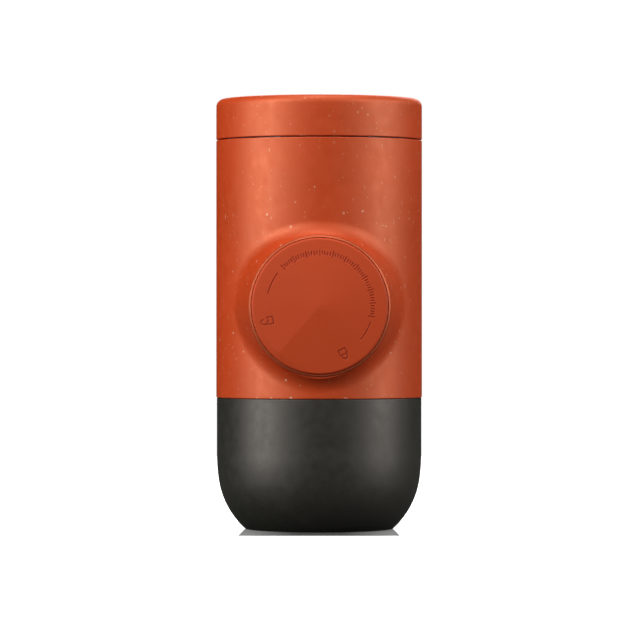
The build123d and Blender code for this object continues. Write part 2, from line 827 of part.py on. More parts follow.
def tank_strainer():
    """Small steel cap with a slotted side over the tank's port."""
    top = tank_floor_top + strainer_height
    inner = strainer_radius - strainer_wall
    cap = turned(
        (inner, tank_floor_top),
        (strainer_radius, tank_floor_top),
        (strainer_radius, top),
        (0, top),
        (0, top - strainer_wall),
        (inner, top - strainer_wall),
    )
    slot = Pos(0, 0, tank_floor_top + strainer_height / 2) * Box(
        strainer_radius + 1, 2 * strainer_wall, 2 * strainer_wall, align=(Align.MIN, Align.CENTER, Align.CENTER)
    )
    slots = [Rot(0, 0, 30 * number) * slot for number in range(12)]
    return Pos(0, -port_reach, 0) * (cap - slots)


# ---------------------------------------------------------------- lid
def lid_cover():
    """Outer cap in the body's colour, with a rounded top edge and an inner rib that lands on the screw cap."""
    cover = rod(body_radius, lid_bottom, lid_top)
    cover = fillet(cover.edges().group_by(Axis.Z)[-1], lid_edge_radius)
    cover = chamfer(cover.edges().group_by(Axis.Z)[0], edge_break)
    cover -= rod(lid_inner, lid_bottom, lid_ceiling)
    return cover + ring(lid_rib_radius, lid_rib_radius - lid_rib_wall, cap_disc_top, lid_ceiling)


def lid_cap():
    """Screw cap inside the lid that closes the tank's neck, with a vent in its middle."""
    skirt_bottom = lid_bottom + lid_seam
    cap = turned(
        (0, cap_disc_bottom),
        (cap_skirt_inner, cap_disc_bottom),
        (cap_skirt_inner, skirt_bottom),
        (cap_skirt_outer, skirt_bottom),
        (cap_skirt_outer, cap_disc_top),
        (0, cap_disc_top),
    )
    air_hole = rod(vent_stem_radius / 2, cap_disc_bottom, cap_disc_top)
    off_centre = Pos((vent_radius + vent_stem_radius) / 2, 0, 0) * air_hole
    air_holes = [Rot(0, 0, turn) * off_centre for turn in (0, 120, 240)]
    return cap - [rod(vent_stem_radius + fit_clearance, cap_disc_bottom, cap_disc_top), *air_holes]


def lid_seal():
    """Silicone ring between the screw cap and the tank's neck."""
    inner = tank_neck_radius - lid_seal_width
    return ring(tank_neck_radius, inner, neck_top + shaft_clearance, cap_disc_bottom)


def vent_valve():
    """Silicone umbrella that lets air in as the pump draws water out."""
    return turned(
        (0, cap_disc_bottom - vent_stem_radius),
        (vent_stem_radius, cap_disc_bottom - vent_stem_radius),
        (vent_radius, cap_disc_bottom - vent_stem_radius / 2),
        (vent_radius, cap_disc_bottom),
        (vent_stem_radius, cap_disc_bottom),
        (vent_stem_radius, cap_disc_top),
        (vent_stem_radius + 3 * fit_clearance, cap_disc_top),
        (vent_stem_radius, cap_disc_top + vent_stem_radius),
        (0, cap_disc_top + vent_stem_radius),
    )


# ---------------------------------------------------------------- fasteners
def pump_screws():
    """Three screws up through the brew head into the pump's foot."""
    length = brew_plate_thickness + pump_foot_thickness - slide_clearance
    piece = screw(screw_radius - 2 * shaft_clearance, screw_head_radius, screw_head_height, length)
    return Compound([Pos(0, 0, plate_bottom) * place * piece for place in pump_screw_places()])


def shell_screws():
    """Four screws up through the brew head into the shell's bosses."""
    length = brew_plate_thickness + shell_boss_height - 1 - slide_clearance
    piece = screw(screw_radius - 2 * shaft_clearance, screw_head_radius, screw_head_height, length)
    return Compound([Pos(0, 0, plate_bottom) * place * piece for place in shell_screw_places()])


def guide_screws():
    """Three small screws that hold the knob's guide on the pump's flange."""
    length = small_screw_head_height + sleeve_floor_thickness + pump_flange_thickness - slide_clearance
    radius = small_screw_radius - 3 * shaft_clearance
    piece = screw(radius, small_screw_head_radius, small_screw_head_height, length)
    driven_in = Pos(0, 0, sleeve_floor_top + small_screw_head_height) * Rot(180, 0, 0) * piece
    return Compound([on_pump_axis(place * driven_in) for place in guide_screw_places()])


pieces = [
    espresso_cup,
    brew_head,
    cup_seal,
    shower_screen,
    screen_screw,
    brew_gasket,
    filter_basket,
    outlet_head,
    outlet_nozzle,
    valve_poppet,
    valve_spring,
    body_shell,
    knob_guide,
    pump_housing,
    cylinder_liner,
    gland_bush,
    piston_rod,
    piston_rings,
    return_spring,
    thrust_washer,
    knob_clip,
    knob_hub,
    knob_cap,
    inlet_valve,
    outlet_valve,
    water_tank,
    tank_port_seal,
    tank_strainer,
    lid_cover,
    lid_cap,
    lid_seal,
    vent_valve,
    pump_screws,
    shell_screws,
    guide_screws,
]

os.makedirs("parts", exist_ok=True)
for make in pieces:
    save(make.__name__, make())
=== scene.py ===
import json

import bmesh
import bpy
import numpy as np
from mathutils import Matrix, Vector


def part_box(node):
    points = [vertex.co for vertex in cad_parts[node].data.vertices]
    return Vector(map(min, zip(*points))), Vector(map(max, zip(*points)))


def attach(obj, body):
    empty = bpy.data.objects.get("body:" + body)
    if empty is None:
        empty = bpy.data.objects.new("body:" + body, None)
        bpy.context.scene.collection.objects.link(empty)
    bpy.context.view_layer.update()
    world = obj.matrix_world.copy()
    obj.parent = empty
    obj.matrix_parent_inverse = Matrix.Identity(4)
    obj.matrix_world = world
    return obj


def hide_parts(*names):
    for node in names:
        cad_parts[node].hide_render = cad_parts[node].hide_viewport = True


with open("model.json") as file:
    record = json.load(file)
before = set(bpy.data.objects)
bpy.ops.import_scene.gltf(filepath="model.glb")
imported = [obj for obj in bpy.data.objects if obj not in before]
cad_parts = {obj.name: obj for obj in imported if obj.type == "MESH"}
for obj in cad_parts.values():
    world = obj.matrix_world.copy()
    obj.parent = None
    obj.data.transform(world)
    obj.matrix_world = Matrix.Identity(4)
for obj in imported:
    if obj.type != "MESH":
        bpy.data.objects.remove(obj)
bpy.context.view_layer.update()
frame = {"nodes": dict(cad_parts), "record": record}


# ---------------------------------------------------------------- camera
# The camera stands level with the maker's middle and 1.4 m off, so its sides look nearly parallel.
# The lens gives the maker seven tenths of a square picture's height.
mm = 0.001
picture_size = 630
eye_distance = 1400
eye_height = 73.6
eye_offset = -8.0
centre_pixel = 295.6
horizon_pixel = 312.5
lens_length = 234.9

camera = bpy.data.objects.new("camera", bpy.data.cameras.new("camera"))
camera.data.lens = lens_length
camera.data.shift_x = (picture_size / 2 - centre_pixel) / picture_size
camera.data.shift_y = (horizon_pixel - picture_size / 2) / picture_size
camera.data.clip_end = 20
camera.location = [eye_offset * mm, -eye_distance * mm, eye_height * mm]
camera.rotation_euler = [np.pi / 2, 0, 0]
bpy.context.scene.collection.objects.link(camera)
bpy.context.scene.camera = camera
bpy.context.scene.view_settings.view_transform = "Standard"


# ---------------------------------------------------------------- lamps
# Large soft boxes left and right draw the two upright highlights, and high ones light the colour from the front
# and pick out the upper edges. Next to nothing shines from below.
lamp_distance = 900
target_height = 73


def softbox(name, azimuth, elevation, width, height, power):
    """A rectangular lamp that faces the maker: its middle lies at lamp_distance along
    (sin a cos e, -cos a cos e, sin e), with azimuth a from the knob's side to the right and elevation e."""
    a, e = np.radians([azimuth, elevation])
    away = np.array([np.sin(a) * np.cos(e), -np.cos(a) * np.cos(e), np.sin(e)])
    lamp = bpy.data.lights.new(name, "AREA")
    lamp.shape = "RECTANGLE"
    lamp.size = width * mm
    lamp.size_y = height * mm
    lamp.energy = power
    box = bpy.data.objects.new(name, lamp)
    box.location = (away * lamp_distance + [0, 0, target_height]) * mm
    box.rotation_euler = [np.pi / 2 - e, 0, a]
    bpy.context.scene.collection.objects.link(box)
    return box


softbox("left_box", -65, 7, 470, 520, 3.57)
softbox("left_high", -50, 34, 420, 400, 2.15)
softbox("right_box", 73, 11, 420, 740, 3.26)
softbox("right_high", 40, 34, 400, 400, 1.12)
softbox("right_back", 100, 30, 400, 400, 0.60)
softbox("front_left", -30, 32, 400, 400, 0.91)
softbox("overhead", 10, 85, 500, 400, 2.45)
softbox("back_box", 172, 30, 600, 500, 3.0)


# ---------------------------------------------------------------- floor and air
# A white table top. To the eye, in glass and in a clear mirror, it and the air are white. Near the foot, where
# it is polished, it still shows the maker's shadow and image. To the light that bounces it is dim, as the
# maker's underside shows.
floor_reach = 700
polish_reach = 60
polish_front = 46.2
polish_share = 0.88
polish_fade = 4
glow_near, glow_far = 46, 54
aside_near, aside_far = 8, 24
aside_glow = 1.4
gloss_share = 0.02
white = (1, 1, 1, 1)
bounce_grey = (0.06, 0.06, 0.06, 1)


def add(tree, kind, values=None, **settings):
    """Adds a shader node with its settings. Each value fills an input, and a socket given as one is linked."""
    made = tree.nodes.new(kind)
    for setting, value in settings.items():
        setattr(made, setting, value)
    for socket, value in (values or {}).items():
        if isinstance(value, bpy.types.NodeSocket):
            tree.links.new(value, made.inputs[socket])
        else:
            made.inputs[socket].default_value = value
    return made


def seen_ray(tree):
    """1 for a ray from the eye, through glass or off a clear mirror, gloss_share off a duller gloss, and 0 for
    light that bounces."""
    ray = add(tree, "ShaderNodeLightPath").outputs
    dull = add(tree, "ShaderNodeMath", {0: ray["Is Glossy Ray"], 1: gloss_share}, operation="MULTIPLY")
    seen = dull.outputs[0]
    for kind in ("Is Camera Ray", "Is Transmission Ray", "Is Singular Ray"):
        seen = add(tree, "ShaderNodeMath", {0: seen, 1: ray[kind]}, operation="MAXIMUM").outputs[0]
    return seen


def air():
    """White to the rays that seen_ray names, and nearly dark to every other ray."""
    world = bpy.data.worlds.new("air")
    world.use_nodes = True
    tree = world.node_tree
    tree.nodes.clear()
    dim = add(tree, "ShaderNodeBackground", {"Color": white, "Strength": 0.0})
    bright = add(tree, "ShaderNodeBackground", {"Color": white, "Strength": 1.0})
    mixed = add(tree, "ShaderNodeMixShader", {0: seen_ray(tree), 1: dim.outputs[0], 2: bright.outputs[0]})
    add(tree, "ShaderNodeOutputWorld", {"Surface": mixed.outputs[0]})
    return world


def table_top():
    """Matt white that also glows towards the eye away from the foot, so that only the shadow there stays grey:
    the glow grows with the distance to either side and from the foot. The polish is polish_share behind
    polish_front and inside polish_reach, and 0 beyond both."""
    material = bpy.data.materials.new("table_top")
    material.use_nodes = True
    tree = material.node_tree
    tree.nodes.clear()
    where = add(tree, "ShaderNodeTexCoord").outputs["Object"]
    away = add(tree, "ShaderNodeVectorMath", {0: where}, operation="LENGTH").outputs["Value"]
    place_xyz = add(tree, "ShaderNodeSeparateXYZ", {"Vector": where}).outputs
    behind = add(tree, "ShaderNodeMath", {0: place_xyz["Y"], 1: -polish_front * mm}, operation="GREATER_THAN")
    inside = add(tree, "ShaderNodeMapRange", {"Value": away, "From Min": (polish_reach - polish_fade) * mm,
                                              "From Max": polish_reach * mm, "To Min": polish_share,
                                              "To Max": 0.0}, interpolation_type="SMOOTHSTEP")
    polish = add(tree, "ShaderNodeMath", {0: inside.outputs[0], 1: behind.outputs[0]}, operation="MULTIPLY")
    beyond = add(tree, "ShaderNodeMapRange", {"Value": away, "From Min": glow_near * mm,
                                              "From Max": glow_far * mm})
    aside = add(tree, "ShaderNodeMath", {0: place_xyz["X"]}, operation="ABSOLUTE")
    beside = add(tree, "ShaderNodeMapRange", {"Value": aside.outputs[0], "From Min": aside_near * mm,
                                              "From Max": aside_far * mm, "To Max": aside_glow})
    plain = add(tree, "ShaderNodeMath", {0: 1.0, 1: behind.outputs[0]}, operation="SUBTRACT")
    level = add(tree, "ShaderNodeMath", {0: beyond.outputs[0], 1: plain.outputs[0]}, operation="MAXIMUM")
    level = add(tree, "ShaderNodeMath", {0: level.outputs[0], 1: beside.outputs[0]}, operation="MAXIMUM")
    matt = add(tree, "ShaderNodeBsdfDiffuse", {"Color": white})
    glow = add(tree, "ShaderNodeEmission", {"Color": white, "Strength": level.outputs[0]})
    lit = add(tree, "ShaderNodeAddShader", {0: matt.outputs[0], 1: glow.outputs[0]})
    mirror = add(tree, "ShaderNodeBsdfGlossy", {"Color": white, "Roughness": 0.0})
    polished = add(tree, "ShaderNodeMixShader", {0: polish.outputs[0], 1: lit.outputs[0], 2: mirror.outputs[0]})
    dim = add(tree, "ShaderNodeBsdfDiffuse", {"Color": bounce_grey})
    mixed = add(tree, "ShaderNodeMixShader", {0: seen_ray(tree), 1: dim.outputs[0], 2: polished.outputs[0]})
    add(tree, "ShaderNodeOutputMaterial", {"Surface": mixed.outputs[0]})
    return material


bpy.context.scene.world = air()
floor_mesh = bpy.data.meshes.new("floor")
floor_corners = np.array([[-1, -1, 0], [1, -1, 0], [1, 1, 0], [-1, 1, 0]]) * floor_reach * mm
floor_mesh.from_pydata(floor_corners.tolist(), [], [[0, 1, 2, 3]])
floor_mesh.materials.append(table_top())
floor = bpy.data.objects.new("floor", floor_mesh)
bpy.context.scene.collection.objects.link(floor)


# ---------------------------------------------------------------- body shell
# Moulded tube in orange-red plastic with pale flecks, screwed to the brew head from below. The knob's boss
# grows out of its side through a rolled blend, and the pump's guide sleeve fits the bore in the boss.
def box_of(node):
    """A node's lowest and highest corners in millimetres."""
    return [np.array(corner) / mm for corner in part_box(node)]


tube_low, tube_high = box_of("body_shell")
guide_low, guide_high = box_of("knob_guide")
tube_radius = tube_high[0]
cup_gap = 0.08
tube_bottom, tube_top = box_of("espresso_cup")[1][2] + cup_gap, tube_high[2]
tube_wall = 1.8
tube_inner = tube_radius - tube_wall
tube_edge = 0.25
pump_height = (guide_low[2] + guide_high[2]) / 2
rim_drop = 0.4
rim_reach = -tube_low[1] - rim_drop
guide_fit = 0.05
bore_radius = (guide_high[2] - guide_low[2]) / 2 + guide_fit
rim_width = 0.02
rim_edge = 0.05
draft_beside = np.radians(15)
draft_above = np.radians(30)
draft_below = np.radians(14)
blend_beside = 9.0
blend_above = 6.0
blend_below = 6.2
shell_spokes = 720
orange = (0.80, 0.060, 0.0, 1)
orange_sheen = (1, 0.765, 0.48, 1)
fleck_colour = (1.0, 0.53, 0.36, 1)
fleck_softness = 0.06
fleck_wobble = 0.25


def on_pump(radius, reach, angle):
    """Point at a radius from the pump's axis, at a reach from the body's centre line towards the knob, and
    clockwise from 12 as the knob is faced: (radius sin, -reach, pump height + radius cos)."""
    radius, reach, angle = np.broadcast_arrays(radius, reach, angle)
    return np.stack([radius * np.sin(angle), -reach, pump_height + radius * np.cos(angle)], -1)


def on_body(radius, height, azimuth):
    """Point at a radius from the body's axis: (radius sin, -radius cos, height), azimuth 0 at the knob."""
    radius, height, azimuth = np.broadcast_arrays(radius, height, azimuth)
    return np.stack([radius * np.sin(azimuth), -radius * np.cos(azimuth), height], -1)


def between(start, end, share, turn):
    """Unit vectors on the arc from start to end: (start sin((1 - s) t) + end sin(s t)) / sin t."""
    near = np.sin((1 - share) * turn)[..., None] * start
    far = np.sin(share * turn)[..., None] * end
    return (near + far) / np.sin(turn)[..., None]


def surface(name, points, loop_rows=False, loop_columns=True, keep=None, values=None, crease=35):
    """A mesh from a grid of points in millimetres: each cell joins a point to its neighbours in the next column
    and row. Points that meet at a seam or a pole are merged. Edges sharper than crease degrees stay sharp."""
    rows, columns = points.shape[:2]
    index = np.arange(rows * columns).reshape(rows, columns)
    if loop_rows:
        index = np.concatenate([index, index[:1]])
    if loop_columns:
        index = np.concatenate([index, index[:, :1]], 1)
    cells = np.stack([index[:-1, :-1], index[:-1, 1:], index[1:, 1:], index[1:, :-1]], -1)
    cells = cells.reshape(-1, 4) if keep is None else cells[keep]
    mesh = bpy.data.meshes.new(name)
    mesh.from_pydata((points.reshape(-1, 3) * mm).tolist(), [], cells.tolist())
    for label, value in (values or {}).items():
        stored = mesh.attributes.new(label, "FLOAT", "POINT")
        stored.data.foreach_set("value", np.broadcast_to(value, (rows, columns)).astype(np.float32).ravel())
    shape = bmesh.new()
    shape.from_mesh(mesh)
    bmesh.ops.remove_doubles(shape, verts=shape.verts, dist=0.0005 * mm)
    bmesh.ops.recalc_face_normals(shape, faces=shape.faces)
    shape.to_mesh(mesh)
    shape.free()
    mesh.shade_smooth()
    mesh.set_sharp_from_angle(angle=np.radians(crease))
    piece = bpy.data.objects.new(name, mesh)
    bpy.context.scene.collection.objects.link(piece)
    return piece


def place(piece, body, slot, material, *nodes):
    """Gives a piece its finish, sets it on its body and lets it stand for the CAD nodes named."""
    piece.data.materials.append(material)
    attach(piece, body)
    if nodes:
        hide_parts(*nodes)
    return piece


def rectangle_ends(spoke):
    """Where each spoke from the pump's axis meets the unrolled tube's outline, at half a turn or at the tube's
    ends: the azimuth and height at the smaller of half width / |sin| and the height above or below / |cos|."""
    half_width = np.pi * tube_radius
    up, down = tube_top - tube_edge - pump_height, pump_height - tube_bottom - tube_edge
    rise = np.where(np.cos(spoke) > 0, up, down)
    sideways = half_width / np.maximum(np.abs(np.sin(spoke)), 1e-9)
    lengthways = rise / np.maximum(np.abs(np.cos(spoke)), 1e-9)
    length = np.minimum(sideways, lengthways)
    at_end = lengthways <= sideways * (1 + 1e-9)
    return np.sin(spoke) * length / tube_radius, pump_height + np.cos(spoke) * length, at_end


def shell_points():
    """The whole shell as one grid round the pump's axis. Outwards from the bore: the rim, its rolled edge, the
    flank, then a ball of radius k rolled between flank and barrel, then the barrel to its ends and back seam,
    round the end faces and back along the inner wall.
    From the flank's sides to its top and bottom, draft and k change with cos^2 of the spoke.
    The ball's centre lies k off both: its radius from the pump's axis is a - q t, where t = tan(draft) and
    a = rim radius + rim reach t + k / cos(draft). Its reach q solves (a - q t)^2 sin^2 + q^2 = (R + k)^2."""
    up, down = tube_top - tube_edge - pump_height, pump_height - tube_bottom - tube_edge
    corner = np.arctan2(np.pi * tube_radius, [up, -down])
    spoke = np.linspace(-np.pi, np.pi, shell_spokes, endpoint=False)
    spoke = np.unique(np.concatenate([spoke, corner, -corner]))
    share = np.cos(spoke) ** 2
    draft = draft_beside + (np.where(np.cos(spoke) > 0, draft_above, draft_below) - draft_beside) * share
    k = blend_beside + (np.where(np.cos(spoke) > 0, blend_above, blend_below) - blend_beside) * share
    slope, sine = np.tan(draft), np.sin(spoke)
    rim_radius = bore_radius + rim_width
    a = rim_radius + rim_reach * slope + k / np.cos(draft)
    square = 1 + (slope * sine) ** 2
    half_b = a * slope * sine**2
    reach = (half_b + np.sqrt(half_b**2 - square * ((a * sine) ** 2 - (tube_radius + k) ** 2))) / square
    centre = on_pump(a - reach * slope, reach, spoke)
    flank = np.stack([np.cos(draft) * sine, -np.sin(draft), np.cos(draft) * np.cos(spoke)], -1)
    barrel = centre * [1, 1, 0] / (tube_radius + k)[:, None]
    turn = np.arccos((flank * barrel).sum(-1))
    across = (barrel - np.cos(turn)[:, None] * flank) / np.sin(turn)[:, None]
    lift = np.hypot(flank[:, 1], across[:, 1])
    rise = np.clip((reach - rim_reach) / k / lift, -1, 1)
    start = np.maximum(np.arctan2(-across[:, 1], -flank[:, 1]) - np.arccos(rise), 0)
    flank_length = np.maximum(rim_reach - (reach - k * np.sin(draft)), 0) / np.cos(draft)
    whole = flank_length + k * (turn - start)

    def outside(path):
        """Point and outward normal at a path length from the rim's corner, down the flank and the ball."""
        rolled = np.clip(start + (path - flank_length) / k, start, turn)
        normal = between(flank, barrel, rolled / turn, np.broadcast_to(turn, rolled.shape))
        down_flank = np.stack([-np.sin(draft) * sine, -np.cos(draft), -np.sin(draft) * np.cos(spoke)], -1)
        above = np.maximum(flank_length - path, 0)[..., None]
        return centre - k[:, None] * normal + above * down_flank, normal

    corner_point, corner_normal = outside(np.zeros((1, len(spoke))))
    forward = np.array([0.0, -1.0, 0.0])
    bend = np.arccos((corner_normal * forward).sum(-1))
    setback = rim_edge * np.tan(bend / 2)
    hub = corner_point - rim_edge * (corner_normal + forward) / (1 + np.cos(bend))[..., None]
    share = np.linspace(0, 1, 6)[:, None]
    bend = np.broadcast_to(bend, (len(share), len(spoke)))
    rim_round = hub + rim_edge * between(np.broadcast_to(forward, hub.shape), corner_normal, share, bend)
    path = setback + (whole - setback) * np.concatenate([[0.02], np.linspace(0.06, 1, 30)])[:, None]
    side = outside(path)[0]
    bore_front = on_pump(bore_radius, rim_reach, spoke)[None]
    rim_flat = bore_front + (rim_round[:1] - bore_front) * np.array([0.25, 0.8])[:, None, None]

    contact = side[-1]
    from_azimuth = np.arctan2(contact[:, 0], -contact[:, 1])
    end_azimuth, end_height, at_end = rectangle_ends(spoke)
    length = np.hypot((end_azimuth - from_azimuth) * tube_radius, end_height - contact[:, 2])
    share = np.linspace(0, 1, 44)[1:-1, None] ** 1.25 * np.ones_like(spoke)
    share = np.concatenate([share, [1 - tube_edge / length, np.ones_like(spoke)]])
    barrel_rows = on_body(tube_radius, contact[:, 2] + (end_height - contact[:, 2]) * share,
                          from_azimuth + (end_azimuth - from_azimuth) * share)

    end_sign = np.where(at_end, np.sign(end_height - pump_height), 0)
    roll = np.linspace(0, np.pi / 2, 6)[1:, None]
    end_round = on_body(tube_radius - tube_edge * (1 - np.cos(roll)),
                        end_height + end_sign * tube_edge * np.sin(roll), end_azimuth)
    far_height = end_height + end_sign * tube_edge
    end_flat = on_body(np.array([0.7, 0.3])[:, None] * tube_wall + tube_inner - 0.3, far_height, end_azimuth)

    bore_back = on_pump(bore_radius, np.sqrt(tube_inner**2 - (bore_radius * sine) ** 2), spoke)
    inner_azimuth = np.arctan2(bore_back[:, 0], -bore_back[:, 1])
    share = np.linspace(1, 0, 10)[:, None]
    inner_rows = on_body(tube_inner, bore_back[:, 2] + (far_height - bore_back[:, 2]) * share,
                         inner_azimuth + (end_azimuth - inner_azimuth) * share)
    bore_rows = bore_back + (bore_front - bore_back) * np.array([0.1, 0.97])[:, None, None]
    outside_rows = np.concatenate([inner_rows, bore_rows, bore_front, rim_flat, rim_round, side, barrel_rows])
    points = np.concatenate([outside_rows, end_round, end_flat])
    column_at_end = at_end & np.roll(at_end, -1) & (end_sign == np.roll(end_sign, -1))
    keep = np.ones((len(points), len(spoke)), bool)
    keep[len(outside_rows) - 1:] = column_at_end
    return points, keep


def moulded(name, colour, roughness, mottle=0.06, grain=0.5, depth=0.006, pearl=0.0, ior=1.5,
            sheen=(1, 1, 1, 1)):
    """Moulded plastic: the colour drifts by mottle over a few centimetres, the gloss a little over millimetres,
    and a fine spark-eroded grain of the given size and depth, both in millimetres, dulls it. Pearl is the share
    of metallic pigment, which tints its gloss, and sheen tints the gloss of the clear skin over it."""
    uneven = 0.05
    material = bpy.data.materials.new(name)
    material.use_nodes = True
    tree = material.node_tree
    shader = tree.nodes["Principled BSDF"]
    shader.inputs["Metallic"].default_value = pearl
    shader.inputs["IOR"].default_value = ior
    shader.inputs["Specular Tint"].default_value = sheen
    where = add(tree, "ShaderNodeTexCoord").outputs["Object"]
    drift = add(tree, "ShaderNodeTexNoise", {"Vector": where, "Scale": 45.0, "Detail": 3.0})
    level = add(tree, "ShaderNodeMapRange", {"Value": drift.outputs["Fac"], "From Min": 0.3, "From Max": 0.7,
                                             "To Min": 1 - mottle, "To Max": 1 + mottle})
    tinted = mix_colours(tree, 1.0, colour, level.outputs[0], "MULTIPLY")
    wear = add(tree, "ShaderNodeTexNoise", {"Vector": where, "Scale": 300.0, "Detail": 4.0})
    gloss = add(tree, "ShaderNodeMapRange", {"Value": wear.outputs["Fac"], "From Min": 0.3, "From Max": 0.7,
                                             "To Min": roughness - uneven, "To Max": roughness + uneven})
    tree.links.new(gloss.outputs[0], shader.inputs["Roughness"])
    fine = add(tree, "ShaderNodeTexNoise", {"Vector": where, "Scale": 1000.0 / grain, "Detail": 2.0})
    bump = add(tree, "ShaderNodeBump", {"Height": fine.outputs["Fac"], "Distance": depth * mm, "Strength": 1.0})
    tree.links.new(bump.outputs[0], shader.inputs["Normal"])
    tree.links.new(tinted, shader.inputs["Base Color"])
    return material


def mix_colours(tree, share, first, second, way="MIX"):
    """Mixes two colours, each a value or a socket, and gives the mixed socket."""
    made = add(tree, "ShaderNodeMix", data_type="RGBA", blend_type=way)
    for socket, value in ((0, share), (6, first), (7, second)):
        if isinstance(value, bpy.types.NodeSocket):
            tree.links.new(value, made.inputs[socket])
        else:
            made.inputs[socket].default_value = value
    return made.outputs[2]


def flecks(tree, where, pitch, largest, strength, stretch=(1, 1, 1), turn=(0, 0, 0)):
    """A mask of scattered grains: one grain at most in each cell of a Voronoi pattern with cells pitch
    millimetres wide. Its radius is largest times the cell's random value to the third, so most are tiny. Its
    mask is strength times 0.1 to 1, with the square of another random value, so most are faint."""
    lain = add(tree, "ShaderNodeMapping", {"Vector": where, "Rotation": np.radians(turn), "Scale": stretch})
    cell = add(tree, "ShaderNodeTexVoronoi", {"Vector": lain.outputs[0], "Scale": 1000.0 / pitch})
    channel = add(tree, "ShaderNodeSeparateColor", {"Color": cell.outputs["Color"]})
    size = add(tree, "ShaderNodeMath", {0: channel.outputs[0], 1: 3.0}, operation="POWER")
    radius = add(tree, "ShaderNodeMath", {0: size.outputs[0], 1: largest / pitch}, operation="MULTIPLY")
    past = add(tree, "ShaderNodeMath", {0: cell.outputs["Distance"], 1: radius.outputs[0]},
               operation="SUBTRACT")
    soft = fleck_softness / pitch
    inside = add(tree, "ShaderNodeMapRange", {"Value": past.outputs[0], "From Min": -soft, "From Max": soft,
                                              "To Min": 1.0, "To Max": 0.0})
    rare = add(tree, "ShaderNodeMath", {0: channel.outputs[1], 1: 2.0}, operation="POWER")
    faint = add(tree, "ShaderNodeMapRange", {"Value": rare.outputs[0], "From Min": 0.0, "From Max": 1.0,
                                             "To Min": 0.1 * strength, "To Max": strength})
    mask = add(tree, "ShaderNodeMath", {0: inside.outputs[0], 1: faint.outputs[0]}, operation="MULTIPLY")
    return mask.outputs[0]


def speckled_plastic():
    """The shell's orange-red plastic: round grains, short fibres that lie two ways, and a fine pale dust."""
    material = moulded("speckled_plastic", orange, 0.52, pearl=0.15, ior=2.26, sheen=orange_sheen)
    tree = material.node_tree
    shader = tree.nodes["Principled BSDF"]
    where = add(tree, "ShaderNodeTexCoord").outputs["Object"]
    wobble = add(tree, "ShaderNodeTexNoise", {"Vector": where, "Scale": 2500.0, "Detail": 1.0})
    bent = add(tree, "ShaderNodeVectorMath", {0: wobble.outputs["Color"], 1: (0.5, 0.5, 0.5)},
               operation="SUBTRACT")
    bent = add(tree, "ShaderNodeVectorMath", {0: bent.outputs[0], "Scale": fleck_wobble * mm},
               operation="SCALE")
    where = add(tree, "ShaderNodeVectorMath", {0: where, 1: bent.outputs[0]}).outputs[0]
    kinds = [
        flecks(tree, where, 1.6, 0.44, 1.0),
        flecks(tree, where, 1.9, 0.25, 0.9, (1, 1, 0.3), (30, 20, 0)),
        flecks(tree, where, 2.0, 0.25, 0.9, (0.3, 1, 1), (0, 35, 20)),
        flecks(tree, where, 0.7, 0.16, 0.38),
    ]
    mask = kinds[0]
    for other in kinds[1:]:
        mask = add(tree, "ShaderNodeMath", {0: mask, 1: other}, operation="MAXIMUM").outputs[0]
    ground = shader.inputs["Base Color"].links[0].from_socket
    tree.links.new(mix_colours(tree, mask, ground, fleck_colour), shader.inputs["Base Color"])
    return material


shell_plastic = speckled_plastic()
shell_grid, shell_keep = shell_points()
shell = surface("shell", shell_grid, loop_rows=True, keep=shell_keep)
place(shell, "body", "shell_plastic", shell_plastic, "body_shell")


# ---------------------------------------------------------------- tank ledge
# A ring inside the shell, moulded with it in the same plastic. It stands just above the pump's guide and
# carries the water tank.
ledge_gap = 1.0
ledge_thickness = 1.4
ledge_width = 2.2


def rounded(*corners):
    """An outline with its corners rolled: each corner is (radius, height) or (radius, height, roll). An arc of
    that roll joins the two sides, with a guard point just off each end that keeps the sides' shading flat."""
    path = []
    count = len(corners)
    for number, corner in enumerate(corners):
        point, roll = np.array(corner[:2], float), corner[2] if len(corner) > 2 else 0
        if roll == 0:
            path.append(point)
            continue
        before = np.array(corners[number - 1][:2], float) - point
        after = np.array(corners[(number + 1) % count][:2], float) - point
        u, v = before / np.hypot(*before), after / np.hypot(*after)
        half = np.arccos(np.clip(u @ v, -1, 1)) / 2
        roll = min(roll, 0.45 * min(np.hypot(*before), np.hypot(*after)) * np.tan(half))
        setback = roll / np.tan(half)
        hub = point + (u + v) / np.hypot(*(u + v)) * roll / np.sin(half)
        start, end = (point + u * setback - hub) / roll, (point + v * setback - hub) / roll
        turn = np.pi - 2 * half
        share = np.linspace(0, 1, max(3, int(np.degrees(turn) / 12) + 2))
        arc = hub + roll * between(start[None], end[None], share, np.full_like(share, turn))
        guard = min(0.3 * roll + 0.05, 0.1 * min(np.hypot(*before), np.hypot(*after)))
        path += [point + u * (setback + guard), *arc, point + v * (setback + guard)]
    return np.array(path)


def turned(name, outline, columns=240, loop=False, axis=on_body):
    """A form turned about the body's axis, or the pump's: every point of its outline goes round in a circle."""
    angle = np.linspace(0, 2 * np.pi, columns, endpoint=False)
    return surface(name, axis(outline[:, :1], outline[:, 1:], angle), loop_rows=loop)


ledge_root = tube_inner + 0.5
ledge_lip = tube_inner - ledge_width
ledge_top = pump_height + bore_radius - guide_fit + ledge_gap + ledge_thickness
tank_ledge = turned("tank_ledge", rounded(
    (ledge_root, ledge_top - ledge_thickness), (ledge_root, ledge_top), (ledge_lip, ledge_top, 0.3),
    (ledge_lip, ledge_top - ledge_thickness, 0.3)), loop=True)
place(tank_ledge, "body", "shell_plastic", shell_plastic)


# ---------------------------------------------------------------- lid
# Outer cap in the shell's plastic. Its top edge is rolled, and a rib inside lands on the screw cap,
# which closes the tank's neck through a silicone ring.
lid_low, lid_high = box_of("lid_cover")
lid_radius = lid_high[0]
lid_wall = 1.8
lid_edge = 2.6
lid_ceiling = lid_high[2] - 2.2
cap_top = box_of("lid_cap")[1][2]
rib_radius = 24.0
rib_wall = 1.5

